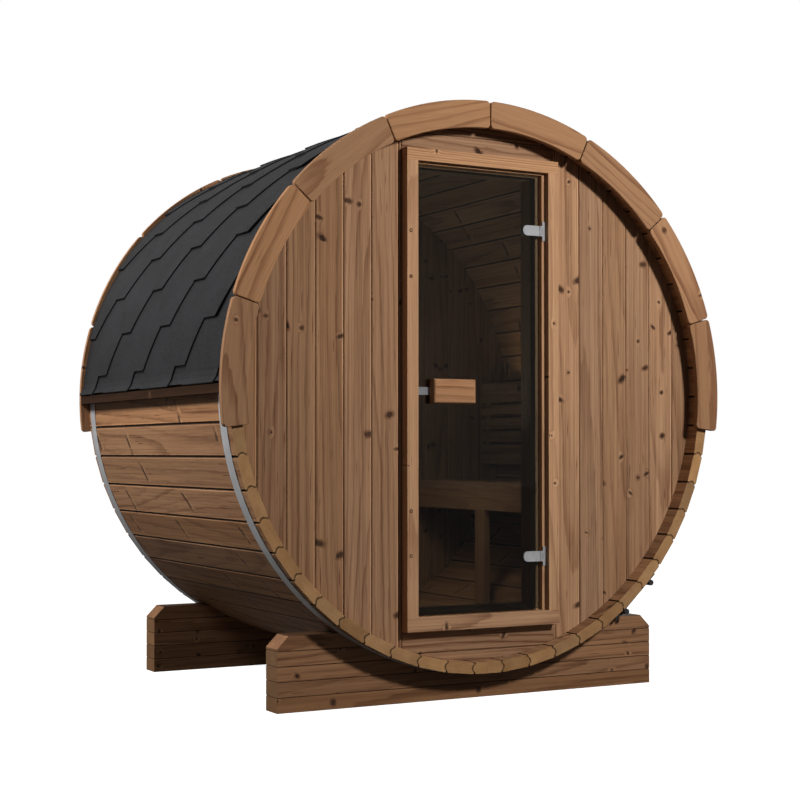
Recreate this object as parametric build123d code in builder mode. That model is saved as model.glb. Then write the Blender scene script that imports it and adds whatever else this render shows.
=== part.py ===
"""Barrel sauna: a coopered barrel of staves lying on two cradles, with a glass door in its front wall.

Frame: +X right, +Z up, the door faces -Y. The origin lies on the ground under the middle of the barrel.
"""

from build123d import *
from math import asin, cos, degrees, hypot, radians, sin, sqrt
import os

# Barrel
stave_count = 54
stave_length = 1458.0
stave_thickness = 42.0
barrel_radius = 1020.0
stave_gap = 0.8
outer_notch = 6.0
inner_notch = 3.0
bead_height = 9.0
bead_half_width = 14.6
ground_gap = 97.0
side_clearance = 0.4

# Rings that cover the stave ends
trim_thickness = 21.0
trim_overhang = 35.0
trim_board_width = 99.0
trim_half_angle = 97.6
trim_boards_per_side = 4
trim_joint = 4.0
trim_corner = 15.0
trim_bevel = 2.0

# Steel hoops
hoop_width = 54.0
hoop_thickness = 1.5
front_hoop_inset = 35.0
back_hoop_inset = 20.0
seat_clearance = 0.3
tightener_angle = 137.6
lug_spread = 158.0
lug_length = 13.0
lug_reach = 33.0
lug_bar_radius = 11.0
rod_radius = 4.0
rod_length = 252.0
nut_radius = 8.0
nut_length = 7.0

# Cradles
cradle_short = 220.0
cradle_wrap = 168.0
cradle_corner = 44.0
cradle_thickness = 91.0
cradle_inset = 90.0
cradle_boards = 5
seam_depth = 2.0

# End walls
wall_recess = 59.0
wall_thickness = 28.0

# Door frame
frame_width = 650.0
wall_over_frame = 53.0
wall_under_frame = 63.0
frame_proud = 39.0
frame_depth = 105.0
frame_member = 45.0
frame_sill = 52.0
stop_width = 25.0
hinge_strip_width = 16.0
head_strip_height = 7.5

# Glass door
glass_thickness = 8.0
glass_setback = 22.0
glass_stop_gap = 12.0
glass_side_gap = 6.0
glass_head_gap = 13.0
glass_sill_gap = 6.0
hinge_edge_gap = 30.0

# Hinges
hinge_inset = 199.0
axis_from_edge = 6.0
axis_ahead = 4.0
pin_radius = 3.0
pin_clearance = 0.08
knuckle_radius = 6.0
knuckle_height = 20.0
knuckle_gap = 0.5
plate_width = 14.0
plate_height = 72.0
plate_thickness = 4.0
clamp_length = 72.0
clamp_height = 38.0
clamp_plate = 6.0
clamp_edge_gap = 0.3
clamp_web = 2.7

# Handle and latch
handle_length = 176.0
handle_height = 88.0
handle_thickness = 34.0
handle_edge_radius = 9.0
handle_from_edge = 53.0
latch_height = 28.0
latch_thickness = 3.0

# Bench and backrest along the right-hand side
bench_drop = 344.0
bench_past_frame = 123.0
bench_board = 28.0
fascia_height = 117.0
seat_slats = 4
slat_gap = 9.0
post_width = 70.0
post_place = 45.0
bearer_size = 45.0
backrest_inset = 99.0
backrest_board = 20.0
backrest_lift = 71.0
backrest_wide = 89.0
backrest_narrow = 48.0
backrest_gap = 12.0
backrest_narrow_slats = 3
backrest_upright = 40.0
bench_end_gap = 1.0

# Roof
roof_build_up = 19.0
shingle_step = 7.0
course_height = 160.0
lowest_course = 75.0
eave_rise = 10.0
drip_start = 48.0
drip_middle = 27.0
drip_middle_reach = 3.0
drip_edge = 4.0
drip_reach = 16.0
batten_height = 31.0

# How far pieces of one solid run into each other where they join
joint_lap = 1.0

# Sizes that follow from the ones above
axis_height = ground_gap + barrel_radius
cradle_height = ground_gap + cradle_wrap
cradle_length = 2 * (barrel_radius - cradle_short)
trim_outer_radius = barrel_radius + trim_overhang
trim_inner_radius = trim_outer_radius - trim_board_width
stave_pitch = 360.0 / stave_count
inner_radius = barrel_radius - stave_thickness
mid_radius = barrel_radius - stave_thickness / 2
half_pitch = radians(stave_pitch / 2)
inner_face = inner_radius * cos(half_pitch) + inner_notch * sin(half_pitch)
corner_radius = hypot(barrel_radius, outer_notch)
hoop_inner_radius = corner_radius + seat_clearance
hoop_outer_radius = hoop_inner_radius + hoop_thickness
cover_radius = hoop_outer_radius + seat_clearance
barrel_front = -stave_length / 2
barrel_back = stave_length / 2
wall_front = barrel_front + wall_recess
wall_inside = wall_front + wall_thickness
wall_radius = inner_face - side_clearance
frame_half = frame_width / 2
frame_reach = sqrt(wall_radius ** 2 - frame_half ** 2)
frame_front = wall_front - frame_proud
frame_bottom = axis_height - frame_reach + wall_under_frame
frame_top = axis_height + frame_reach - wall_over_frame
opening_half = frame_half - frame_member
opening_bottom = frame_bottom + frame_sill
opening_top = frame_top - frame_member
glass_front = frame_front + glass_setback
glass_back = glass_front + glass_thickness
stop_front = glass_back + glass_stop_gap
frame_back = frame_front + frame_depth
glass_left = -opening_half + glass_side_gap
glass_right = opening_half - hinge_edge_gap
glass_bottom = opening_bottom + glass_sill_gap
glass_top = opening_top - glass_head_gap
hinge_x = glass_right + axis_from_edge
hinge_y = glass_front - axis_ahead
hinge_rise = (glass_top - glass_bottom) / 2 - hinge_inset
hinge_heights = [axis_height - hinge_rise, axis_height + hinge_rise]
handle_left = glass_left + handle_from_edge

os.makedirs("parts", exist_ok=True)


def write(builder, name):
    """Label a finished piece and write its file."""
    builder.part.label = name
    export_step(builder.part, f"parts/{name}.step")


def barrel_plane(depth):
    """Upright plane across the barrel at this depth, centred on the barrel's axis, seen from the front."""
    return Plane(origin=(0, depth, axis_height), x_dir=(1, 0, 0), z_dir=(0, -1, 0))


def upright_plane(depth):
    """Upright plane across the barrel at this depth, centred on the ground."""
    return Plane(origin=(0, depth, 0), x_dir=(1, 0, 0), z_dir=(0, -1, 0))


def on_circle(radius, angle):
    """Point at an angle from the top, positive to the right."""
    return (radius * sin(radians(angle)), radius * cos(radians(angle)))


def joint_point(side, across, out):
    """Point beside a stave's joint plane. side is -1 or +1, across runs towards +X, out runs outwards."""
    turn = radians(side * stave_pitch / 2)
    radius = mid_radius + out
    return (radius * sin(turn) + across * cos(turn), across * sin(turn) - radius * cos(turn))


def plain_box(x_low, x_high, y_low, y_high, z_low, z_high):
    """Board with square faces, from its low and high corners, added to the part being built."""
    with BuildSketch(Plane.XY.offset(z_low)) as outline:
        with Locations(((x_low + x_high) / 2, (y_low + y_high) / 2)):
            Rectangle(x_high - x_low, y_high - y_low)
    extrude(outline.sketch, amount=z_high - z_low)


def stave_outline(left_joint, right_joint):
    """Cross-section of a stave with bevelled corners. A joint of 1 is a bead and -1 is a cove."""
    face = stave_thickness / 2
    edge = stave_gap / 2
    with BuildSketch() as outline:
        with BuildLine():
            Polyline(
                joint_point(-1, edge, bead_half_width),
                joint_point(-1, edge, face - outer_notch),
                joint_point(-1, outer_notch, face),
                joint_point(1, -outer_notch, face),
                joint_point(1, -edge, face - outer_notch),
                joint_point(1, -edge, bead_half_width),
            )
            ThreePointArc(
                joint_point(1, -edge, bead_half_width),
                joint_point(1, right_joint * bead_height - edge, 0),
                joint_point(1, -edge, -bead_half_width),
            )
            Polyline(
                joint_point(1, -edge, -bead_half_width),
                joint_point(1, -edge, inner_notch - face),
                joint_point(1, -inner_notch, -face),
                joint_point(-1, inner_notch, -face),
                joint_point(-1, edge, inner_notch - face),
                joint_point(-1, edge, -bead_half_width),
            )
            ThreePointArc(
                joint_point(-1, edge, -bead_half_width),
                joint_point(-1, edge - left_joint * bead_height, 0),
                joint_point(-1, edge, bead_half_width),
            )
        make_face()
    return outline.sketch


bead = 1
cove = -1
lowest_stave = stave_outline(bead, bead)
right_stave = stave_outline(cove, bead)
left_stave = stave_outline(bead, cove)
highest_stave = stave_outline(cove, cove)


def stave_shape(number):
    """The beads point upwards on both sides, so that rain runs off. Stave 0 is the lowest one."""
    if number == 0:
        return lowest_stave
    if number == stave_count / 2:
        return highest_stave
    return right_stave if 0 < number < stave_count / 2 else left_stave


def staves(name, first, count):
    """Group of staves, counted anticlockwise seen from the front."""
    with BuildPart() as group:
        with BuildSketch(barrel_plane(barrel_back)):
            for number in range(first, first + count):
                with Locations(Location((0, 0, 0), (0, 0, number * stave_pitch))):
                    add(stave_shape(number))
        extrude(amount=stave_length)
    write(group, name)


end_group = 9
side_levels = ("low", "middle", "high")
side_group = (stave_count - 2 * end_group) // 6
first_stave = -(end_group // 2)
staves("staves_bottom", first_stave, end_group)
first_stave += end_group
for level in side_levels:
    staves(f"staves_right_{level}", first_stave, side_group)
    first_stave += side_group
top_group = stave_count - end_group - 6 * side_group
staves("staves_top", first_stave, top_group)
first_stave += top_group
for level in reversed(side_levels):
    staves(f"staves_left_{level}", first_stave, side_group)
    first_stave += side_group


def trim(name, side, depth, shown_face):
    """Half of a ring of curved boards over the stave ends. side is -1 for left, +1 for right.

    shown_face is 0 where the boards show their front face and -1 where they show their back face.
    """
    board_angle = trim_half_angle / trim_boards_per_side
    mid_trim_radius = (trim_outer_radius + trim_inner_radius) / 2
    half_joint = degrees(asin(trim_joint / 2 / mid_trim_radius))
    with BuildPart() as ring:
        for board in range(trim_boards_per_side):
            start = side * (board * board_angle + half_joint)
            end = side * ((board + 1) * board_angle - half_joint)
            middle = (start + end) / 2
            with BuildSketch(barrel_plane(depth)):
                with BuildLine():
                    ThreePointArc(
                        on_circle(trim_outer_radius, start),
                        on_circle(trim_outer_radius, middle),
                        on_circle(trim_outer_radius, end),
                    )
                    Line(on_circle(trim_outer_radius, end), on_circle(trim_inner_radius, end))
                    ThreePointArc(
                        on_circle(trim_inner_radius, end),
                        on_circle(trim_inner_radius, middle),
                        on_circle(trim_inner_radius, start),
                    )
                    Line(on_circle(trim_inner_radius, start), on_circle(trim_outer_radius, start))
                make_face()
            extrude(amount=trim_thickness)
        fillet(ring.edges().filter_by(Axis.Y), trim_corner)
        chamfer(ring.faces().filter_by(Axis.Y).group_by(Axis.Y)[shown_face].edges(), trim_bevel)
    write(ring, name)


for side_name, side in (("left", -1), ("right", 1)):
    trim(f"front_trim_{side_name}", side, barrel_front, 0)
    trim(f"back_trim_{side_name}", side, barrel_back + trim_thickness, -1)


lug_seat = hoop_outer_radius + seat_clearance
bar_distance = lug_seat + lug_reach
lug_turn = degrees(asin(lug_spread / 2 / bar_distance))
rod_distance = bar_distance * cos(radians(lug_turn))


def hoop(name, centre):
    """Flat steel band round the barrel, open between the two lugs of its tightener."""
    gap_turn = degrees(asin((lug_spread - lug_length) / 2 / hoop_outer_radius))
    far_out = 2 * barrel_radius
    with BuildPart() as band:
        with BuildSketch(barrel_plane(centre + hoop_width / 2)):
            Circle(hoop_outer_radius)
            Circle(hoop_inner_radius, mode=Mode.SUBTRACT)
            with BuildLine():
                Polyline(
                    (0, 0),
                    on_circle(far_out, tightener_angle - gap_turn),
                    on_circle(far_out, tightener_angle + gap_turn),
                    (0, 0),
                )
            make_face(mode=Mode.SUBTRACT)
        extrude(amount=hoop_width)
    write(band, name)


def tightener(name, centre):
    """Two lugs with round bars, drawn together by a threaded rod with a nut behind each bar."""
    with BuildPart() as pair:
        with BuildSketch(barrel_plane(centre + hoop_width / 2)):
            for angle in (tightener_angle - lug_turn, tightener_angle + lug_turn):
                with Locations(Location((0, 0, 0), (0, 0, -angle))):
                    with Locations((0, lug_seat + lug_reach / 2)):
                        Rectangle(lug_length, lug_reach)
                    with Locations((0, bar_distance)):
                        Circle(lug_bar_radius)
        extrude(amount=hoop_width)
        rod_centre = on_circle(rod_distance, tightener_angle)
        along = (cos(radians(tightener_angle)), 0, -sin(radians(tightener_angle)))
        rod_plane = Plane(
            origin=(rod_centre[0], centre, axis_height + rod_centre[1]), x_dir=(0, 1, 0), z_dir=along
        )
        with BuildSketch(rod_plane):
            Circle(rod_radius)
        extrude(amount=rod_length / 2, both=True)
        nut_start = lug_spread / 2 + lug_bar_radius - joint_lap
        for start in (nut_start, -nut_start - nut_length):
            with BuildSketch(rod_plane.offset(start)):
                RegularPolygon(nut_radius, 6)
            extrude(amount=nut_length)
    write(pair, name)


for place, centre in (("front", barrel_front + front_hoop_inset + hoop_width / 2),
                      ("back", barrel_back - back_hoop_inset - hoop_width / 2)):
    hoop(f"{place}_hoop", centre)
    tightener(f"{place}_hoop_tightener", centre)


def cradle(name, front):
    """Beam glued up from boards, with chamfered top corners, cut to the round of the barrel.

    A small V runs along every glue line, on both faces and on the ends.
    """
    back = front + cradle_thickness
    seam_heights = [seam * cradle_height / cradle_boards for seam in range(1, cradle_boards)]
    groove = seam_depth * sqrt(2)
    with BuildPart() as timber:
        with BuildSketch(upright_plane(back)):
            with Locations((0, cradle_height / 2)):
                outline = Rectangle(cradle_length, cradle_height)
            chamfer(outline.vertices().group_by(Axis.Y)[-1], cradle_corner)
            with Locations((0, axis_height)):
                Circle(hoop_inner_radius, mode=Mode.SUBTRACT)
        extrude(amount=cradle_thickness)
        with BuildSketch(Plane.YZ):
            with Locations([(face, height) for face in (front, back) for height in seam_heights]):
                Rectangle(groove, groove, rotation=45)
        extrude(amount=cradle_length / 2, both=True, mode=Mode.SUBTRACT)
        with BuildSketch(upright_plane(back)):
            ends = (-cradle_length / 2, cradle_length / 2)
            with Locations([(end, height) for end in ends for height in seam_heights]):
                Rectangle(groove, groove, rotation=45)
        extrude(amount=cradle_thickness, mode=Mode.SUBTRACT)
    write(timber, name)


cradle("front_cradle", barrel_front + cradle_inset)
cradle("back_cradle", barrel_back - cradle_inset - cradle_thickness)


def wall_piece(name, depth, x_low, x_high, z_low, z_high):
    """Part of a round end wall, between the given limits measured from the barrel's axis."""
    with BuildPart() as panel:
        with BuildSketch(barrel_plane(depth + wall_thickness)):
            Circle(wall_radius)
            with Locations(((x_low + x_high) / 2, (z_low + z_high) / 2)):
                Rectangle(x_high - x_low, z_high - z_low, mode=Mode.INTERSECT)
        extrude(amount=wall_thickness)
    write(panel, name)


far = 2 * barrel_radius
wall_piece("front_wall_left", wall_front, -far, -frame_half, -far, far)
wall_piece("front_wall_right", wall_front, frame_half, far, -far, far)
wall_piece("front_wall_above_door", wall_front, -frame_half, frame_half, frame_top - axis_height, far)
wall_piece("front_wall_below_door", wall_front, -frame_half, frame_half, -far, frame_bottom - axis_height)
wall_piece("back_wall", -wall_inside, -far, far, -far, far)

# Door frame: the jambs stand between the head and the sill, and each member has a stop behind the glass
jamb_low = frame_bottom + frame_sill
jamb_high = frame_top - frame_member
with BuildPart() as jamb_left:
    plain_box(-frame_half, -opening_half, frame_front, frame_back, jamb_low, jamb_high)
    plain_box(-opening_half, stop_width - opening_half, stop_front, frame_back, jamb_low, jamb_high)
write(jamb_left, "door_jamb_left")

strip_front = glass_front - seat_clearance
with BuildPart() as jamb_right:
    plain_box(opening_half, frame_half, frame_front, frame_back, jamb_low, jamb_high)
    plain_box(opening_half - hinge_strip_width, opening_half, strip_front, stop_front, jamb_low, jamb_high)
    plain_box(glass_right - stop_width, opening_half, stop_front, frame_back, jamb_low, jamb_high)
write(jamb_right, "door_jamb_right")

stop_left = stop_width - opening_half
stop_right = glass_right - stop_width
with BuildPart() as head:
    plain_box(-frame_half, frame_half, frame_front, frame_back, jamb_high, frame_top)
    plain_box(-opening_half, opening_half - hinge_strip_width, strip_front, stop_front,
              jamb_high - head_strip_height, jamb_high)
    plain_box(stop_left, stop_right, stop_front, frame_back, jamb_high - stop_width, jamb_high)
write(head, "door_head")

with BuildPart() as sill:
    plain_box(-frame_half, frame_half, frame_front, frame_back, frame_bottom, jamb_low)
    plain_box(stop_left, stop_right, stop_front, frame_back, jamb_low, jamb_low + stop_width)
write(sill, "door_sill")

# Door leaf: one sheet of glass
with BuildPart() as glass:
    plain_box(glass_left, glass_right, glass_front, glass_back, glass_bottom, glass_top)
write(glass, "door_glass")


def hinge_bracket(name, height):
    """Plate on the hinge strip with two knuckles and the pin."""
    plate_left = opening_half - hinge_strip_width + (hinge_strip_width - plate_width) / 2
    knuckle_end = clamp_height / 2
    inner_end = knuckle_height / 2 + knuckle_gap
    with BuildPart() as bracket:
        plain_box(plate_left, plate_left + plate_width, strip_front - plate_thickness, strip_front,
                  height - plate_height / 2, height + plate_height / 2)
        for low, high in ((-knuckle_end, -inner_end), (inner_end, knuckle_end)):
            with BuildSketch(Plane.XY.offset(height + low)):
                with Locations((hinge_x, hinge_y)):
                    Circle(knuckle_radius)
                with Locations(((hinge_x + plate_left + joint_lap) / 2, strip_front - plate_thickness / 2)):
                    Rectangle(plate_left + joint_lap - hinge_x, plate_thickness)
            extrude(amount=high - low)
        with BuildSketch(Plane.XY.offset(height - knuckle_end)):
            with Locations((hinge_x, hinge_y)):
                Circle(pin_radius)
        extrude(amount=2 * knuckle_end)
    write(bracket, name)


def hinge_clamp(name, height):
    """Two plates that grip the glass, with a rounded end, and a knuckle that turns on the pin."""
    bar_front = glass_front - clamp_plate
    bar_back = glass_back + clamp_plate
    grip_left = glass_right - clamp_length
    web_left = glass_right + clamp_edge_gap
    web_right = web_left + clamp_web
    lap_left = glass_right - joint_lap
    with BuildPart() as clamp:
        for front in (bar_front, glass_back):
            with BuildSketch(upright_plane(front + clamp_plate)):
                with Locations(((grip_left + clamp_height / 2 + glass_right) / 2, height)):
                    Rectangle(clamp_length - clamp_height / 2, clamp_height)
                with Locations((grip_left + clamp_height / 2, height)):
                    Circle(clamp_height / 2)
            extrude(amount=clamp_plate)
        with BuildSketch(Plane.XY.offset(height - knuckle_height / 2)):
            with Locations(((web_left + web_right) / 2, (bar_front + bar_back) / 2)):
                Rectangle(clamp_web, bar_back - bar_front)
            for front in (bar_front, glass_back):
                with Locations(((lap_left + web_right) / 2, front + clamp_plate / 2)):
                    Rectangle(web_right - lap_left, clamp_plate)
            with Locations((hinge_x, hinge_y)):
                Circle(knuckle_radius)
                Circle(pin_radius + pin_clearance, mode=Mode.SUBTRACT)
        extrude(amount=knuckle_height)
    write(clamp, name)


for level, height in zip(("lower", "upper"), hinge_heights):
    hinge_bracket(f"{level}_hinge_plate", height)
    hinge_clamp(f"{level}_hinge_clamp", height)


def handle_block(name, front, shown_face):
    """Wooden grip on one face of the glass, rounded on its outer face. shown_face is 0 outside, -1 inside."""
    with BuildPart() as block:
        plain_box(handle_left, handle_left + handle_length, front, front + handle_thickness,
                  axis_height - handle_height / 2, axis_height + handle_height / 2)
        outer_face = block.faces().filter_by(Axis.Y).sort_by(Axis.Y)[shown_face]
        fillet(outer_face.edges(), handle_edge_radius)
    write(block, name)


handle_block("handle_outside", glass_front - handle_thickness, 0)
handle_block("handle_inside", glass_back, -1)

with BuildPart() as latch:
    plain_box(glass_left, handle_left, glass_front - latch_thickness, glass_front,
              axis_height - latch_height / 2, axis_height + latch_height / 2)
write(latch, "latch_plate")

# Bench along the right-hand side
bench_front = wall_inside + bench_end_gap
bench_back = -wall_inside - bench_end_gap


def side_reach(height):
    """Distance from the middle to the staves' inner face at a height above the ground."""
    return sqrt(wall_radius ** 2 - (axis_height - height) ** 2)


bench_top = axis_height - bench_drop
seat_underside = bench_top - bench_board
seat_reach = side_reach(seat_underside)
bench_edge = frame_half + bench_past_frame
fascia_back = bench_edge + bench_board
slat_width = (seat_reach - fascia_back - slat_gap * seat_slats) / seat_slats
with BuildPart() as seat:
    for slat in range(seat_slats):
        slat_left = fascia_back + slat_gap + slat * (slat_width + slat_gap)
        plain_box(slat_left, slat_left + slat_width, bench_front, bench_back, seat_underside, bench_top)
write(seat, "bench_seat")

with BuildPart() as fascia:
    plain_box(bench_edge, fascia_back, bench_front, bench_back, bench_top - fascia_height, bench_top)
write(fascia, "bench_fascia")

with BuildPart() as post:
    post_foot = axis_height - sqrt(wall_radius ** 2 - fascia_back ** 2)
    plain_box(bench_edge, fascia_back, post_place - post_width / 2, post_place + post_width / 2,
              post_foot, bench_top - fascia_height)
write(post, "bench_post")

with BuildPart() as bearers:
    bearer_reach = side_reach(seat_underside - bearer_size)
    for front in (bench_front, post_place - bearer_size / 2, bench_back - bearer_size):
        plain_box(fascia_back, bearer_reach, front, front + bearer_size,
                  seat_underside - bearer_size, seat_underside)
write(bearers, "bench_bearers")

backrest_bottom = bench_top + backrest_lift
backrest_face = side_reach(backrest_bottom) - backrest_inset
backrest_widths = [backrest_wide] + [backrest_narrow] * backrest_narrow_slats + [backrest_wide]
backrest_height = sum(backrest_widths) + backrest_gap * (len(backrest_widths) - 1)
with BuildPart() as backrest:
    slat_low = backrest_bottom
    for width in backrest_widths:
        plain_box(backrest_face, backrest_face + backrest_board, bench_front, bench_back,
                  slat_low, slat_low + width)
        slat_low += width + backrest_gap
write(backrest, "backrest_slats")

with BuildPart() as uprights:
    upright_back = side_reach(backrest_bottom)
    for front in (bench_front, post_place - backrest_upright / 2, bench_back - backrest_upright):
        plain_box(backrest_face + backrest_board, upright_back, front, front + backrest_upright,
                  backrest_bottom, backrest_bottom + backrest_height)
write(uprights, "backrest_uprights")


def roof(name, side):
    """Half of the shingled cover. Each course is thickest at its lower edge, and the eave turns outwards."""
    thin = cover_radius + roof_build_up
    thick = thin + shingle_step
    middle = (thin + thick) / 2
    course_angle = degrees(course_height / thick)
    eave_angle = 90 - degrees(asin(eave_rise / cover_radius))
    drip_height = eave_rise + drip_start
    drip_angle = 90 - degrees(asin(drip_height / middle))
    edge_reach = trim_outer_radius + drip_reach
    with BuildPart() as cover:
        with BuildSketch(barrel_plane(barrel_back)):
            with BuildLine():
                Polyline(
                    on_circle(cover_radius, side * eave_angle),
                    (side * edge_reach, eave_rise),
                    (side * edge_reach, eave_rise + drip_edge),
                    (side * (trim_outer_radius + drip_middle_reach), eave_rise + drip_middle),
                    on_circle(middle, side * drip_angle),
                )
                low = drip_angle
                low_radius = middle
                step = eave_angle - degrees(lowest_course / thick)
                while step > 0:
                    ThreePointArc(
                        on_circle(low_radius, side * low),
                        on_circle((low_radius + thin) / 2, side * (low + step) / 2),
                        on_circle(thin, side * step),
                    )
                    Line(on_circle(thin, side * step), on_circle(thick, side * step))
                    low = step
                    low_radius = thick
                    step -= course_angle
                ridge_radius = thick - shingle_step * low / course_angle
                ThreePointArc(
                    on_circle(thick, side * low),
                    on_circle((thick + ridge_radius) / 2, side * low / 2),
                    on_circle(ridge_radius, 0),
                )
                Line(on_circle(ridge_radius, 0), on_circle(cover_radius, 0))
                ThreePointArc(
                    on_circle(cover_radius, 0),
                    on_circle(cover_radius, side * eave_angle / 2),
                    on_circle(cover_radius, side * eave_angle),
                )
            make_face()
        extrude(amount=stave_length)
    write(cover, name)


for side_name, side in (("left", -1), ("right", 1)):
    roof(f"roof_shingles_{side_name}", side)
    with BuildPart() as batten:
        inner = side * cover_radius
        outer = side * trim_outer_radius
        batten_top = axis_height + eave_rise
        plain_box(min(inner, outer), max(inner, outer), barrel_front, barrel_back,
                  batten_top - batten_height, batten_top)
    write(batten, f"eave_batten_{side_name}")
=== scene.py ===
# %% [markdown]
# # A barrel sauna, dressed in timber, felt, glass and steel
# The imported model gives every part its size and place. This lesson adds what a shape alone can't show: pine
# with rings and knots, wall boards with bevelled joints, six-sided shingles, clear smoked glass and bright
# steel. Each step first says what the real thing is, then how it can be made in Blender.

# %% Load the frame
import bpy
import bmesh
import math
from mathutils import Matrix, Vector


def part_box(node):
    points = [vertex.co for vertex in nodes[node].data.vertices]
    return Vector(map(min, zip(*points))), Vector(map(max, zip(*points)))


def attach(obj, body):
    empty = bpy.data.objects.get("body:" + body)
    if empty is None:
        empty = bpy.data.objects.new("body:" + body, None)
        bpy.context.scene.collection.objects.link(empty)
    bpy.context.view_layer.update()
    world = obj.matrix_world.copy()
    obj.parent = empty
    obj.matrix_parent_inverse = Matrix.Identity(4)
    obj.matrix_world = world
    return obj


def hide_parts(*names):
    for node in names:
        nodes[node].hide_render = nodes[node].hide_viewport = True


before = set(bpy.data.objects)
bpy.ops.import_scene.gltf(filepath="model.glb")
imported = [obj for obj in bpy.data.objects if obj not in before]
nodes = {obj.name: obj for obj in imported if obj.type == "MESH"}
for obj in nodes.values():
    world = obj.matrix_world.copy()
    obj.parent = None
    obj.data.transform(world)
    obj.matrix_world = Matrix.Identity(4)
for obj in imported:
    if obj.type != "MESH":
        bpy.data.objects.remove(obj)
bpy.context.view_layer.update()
print("parts in the frame:", len(nodes))

# %% [markdown]
# ## The numbers that every step shares
# The barrel lies along Y with its middle above the origin. A point on it is best given by its angle from the
# top, its distance from the barrel's axis and its place along Y. Sizes are read from the frame where a part
# shows them, and the others are typed where they are first needed. All are in metres.

# %% Sizes of the barrel
wall_low, wall_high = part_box("back_wall")
axis_height = (wall_low.z + wall_high.z) / 2
wall_radius = (wall_high.z - wall_low.z) / 2
stave_turn = 360 / 54
print("the barrel's axis is", round(axis_height, 4), "high, its end walls reach", round(wall_radius, 4))


def turned(angle):
    """Turn about the barrel's axis by degrees, as a matrix. A positive angle takes the top to the right."""
    pivot = Matrix.Translation((0, 0, axis_height))
    return pivot @ Matrix.Rotation(math.radians(angle), 4, "Y") @ pivot.inverted()


# %% [markdown]
# ## The camera
# The picture was taken from the left of the door, a little below the barrel's middle, with a fairly long
# lens. The camera's place was worked out from the barrel's corners, so it is set directly. A small shift
# moves the frame without turning the camera, which keeps the upright edges as they are.

# %% Place the camera
camera_data = bpy.data.cameras.new("camera")
camera_data.sensor_width = 36
camera_data.lens = 71.70
camera_data.shift_x = 0.0360
camera_data.shift_y = 0.0273
camera = bpy.data.objects.new("camera", camera_data)
bpy.context.scene.collection.objects.link(camera)
camera.location = (-3.1151, -5.6152, 0.8962)
camera.rotation_euler = (math.radians(91.1069), 0, math.radians(-28.3218))
bpy.context.scene.camera = camera
bpy.context.scene.view_settings.view_transform = "Standard"
print("camera", [round(v, 3) for v in camera.location])

# %% [markdown]
# ## Modelling helpers
# Every new piece starts as a primitive at its size and place. An operator acts on all that is selected, so
# each helper clears the selection first. pick() goes into edit mode and selects by a test, as a hand would
# click, and leave() goes back to object mode.


# %% Helpers for modelling
def deselect_all():
    if bpy.context.object and bpy.context.object.mode != "OBJECT":
        bpy.ops.object.mode_set(mode="OBJECT")
    bpy.ops.object.select_all(action="DESELECT")


def take(*pieces):
    """Select these objects alone. The last one is the active one."""
    deselect_all()
    for piece in pieces:
        piece.select_set(True)
    bpy.context.view_layer.objects.active = pieces[-1]


def named(name):
    """Name the object that was just added and put its place into its mesh."""
    piece = bpy.context.object
    piece.name = piece.data.name = name
    bpy.ops.object.transform_apply(location=True, rotation=True, scale=True)
    return piece


def cylinder(name, vertices, radius, low, high, middle):
    """Cylinder along Y between two depths, with its middle at this x and z."""
    deselect_all()
    place = (middle[0], (low + high) / 2, middle[1])
    bpy.ops.mesh.primitive_cylinder_add(vertices=vertices, radius=radius, depth=high - low, location=place,
                                        rotation=(math.pi / 2, 0, 0))
    return named(name)


def pick(piece, kind, test=lambda element: True):
    """Go into edit mode with only the faces, edges or points that pass the test selected."""
    take(piece)
    bpy.ops.object.mode_set(mode="EDIT")
    bpy.ops.mesh.select_mode(type=kind)
    bpy.ops.mesh.select_all(action="DESELECT")
    shape = bmesh.from_edit_mesh(piece.data)
    for element in {"VERT": shape.verts, "EDGE": shape.edges, "FACE": shape.faces}[kind]:
        if test(element):
            element.select_set(True)
    shape.select_flush_mode()
    bmesh.update_edit_mesh(piece.data)


def leave():
    bpy.ops.object.mode_set(mode="OBJECT")


def copy_of(piece, move):
    """Copy with its own mesh, moved."""
    twin = piece.copy()
    twin.data = piece.data.copy()
    bpy.context.scene.collection.objects.link(twin)
    twin.data.transform(Matrix.Translation(move))
    return twin


def join(name, pieces):
    """Make one object of several."""
    take(*pieces)
    bpy.ops.object.join()
    piece = bpy.context.object
    piece.name = piece.data.name = name
    return piece


def finish_with(piece, kind, **settings):
    """Add a modifier, set it and apply it."""
    take(piece)
    modifier = piece.modifiers.new(kind.lower(), kind)
    for key, value in settings.items():
        setattr(modifier, key, value)
    bpy.ops.object.modifier_apply(modifier=modifier.name)


def paint(piece, material):
    piece.data.materials.clear()
    piece.data.materials.append(material)


def dress(piece, material, slot, *replaced):
    """Give a finished piece its material and hide the parts of the frame that it replaces. The slot is not
    used.
    """
    paint(piece, material)
    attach(piece, "barrel")
    if replaced:
        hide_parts(*replaced)


print("modelling helpers are ready")

# %% [markdown]
# ## Node helpers
# A material is a small machine of nodes. A node for every sum makes long recipes, so the outputs of nodes are
# wrapped as values that can be added and multiplied like numbers, and each sum adds its math node by itself.
# Effects that several finishes use, such as grain, are built once as node groups.


# %% Values that can be used in sums
def feed(socket, value):
    """Put a number, a colour or a value into an input."""
    if isinstance(value, Value):
        socket.id_data.links.new(value.socket, socket)
    else:
        socket.default_value = value


def fill(made, **inputs):
    """Feed a node's inputs by name, with _ for a space."""
    for key, value in inputs.items():
        feed(made.inputs[key.replace("_", " ")], value)


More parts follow.
